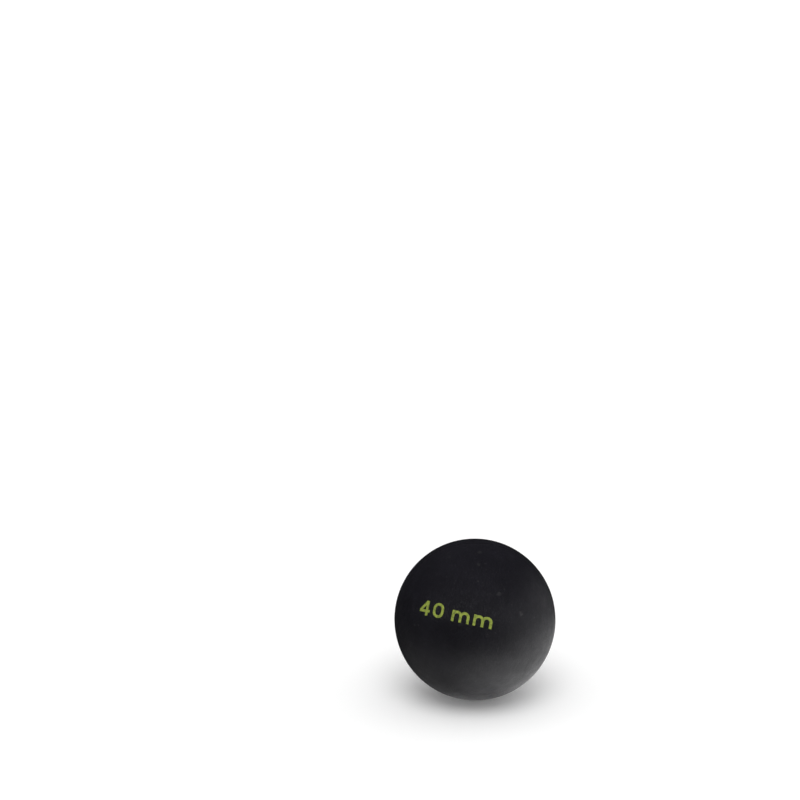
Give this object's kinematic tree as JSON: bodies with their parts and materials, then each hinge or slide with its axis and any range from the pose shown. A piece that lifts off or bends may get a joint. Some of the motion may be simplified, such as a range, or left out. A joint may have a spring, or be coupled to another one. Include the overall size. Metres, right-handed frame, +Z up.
{
  "type": "squash ball",
  "caption": "Hollow matte black rubber ball for squash, moulded as half shells bonded along a fine seam, with printed speed dots and a plain printed size.",
  "frame": {"origin": "centre of the ball", "axes": "+Z up, -Y the front with the size mark, +Y the rear with the speed dots; the Y axis runs through the poles of the two half shells and the seam lies in the XZ plane"},
  "size_m": [0.04, 0.04, 0.04],
  "materials": {
    "rubber": "matte, buffed",
    "adhesive": "cured rubber solution, dull",
    "dot_ink": "pad-printed ink",
    "mark_ink": "pad-printed ink"
  },
  "bodies": {
    "root": {"front_half_shell": "rubber", "rear_half_shell": "rubber", "seam_adhesive": "adhesive", "left_dot": "dot_ink", "right_dot": "dot_ink", "size_mark": "mark_ink"}
  },
  "joints": []
}
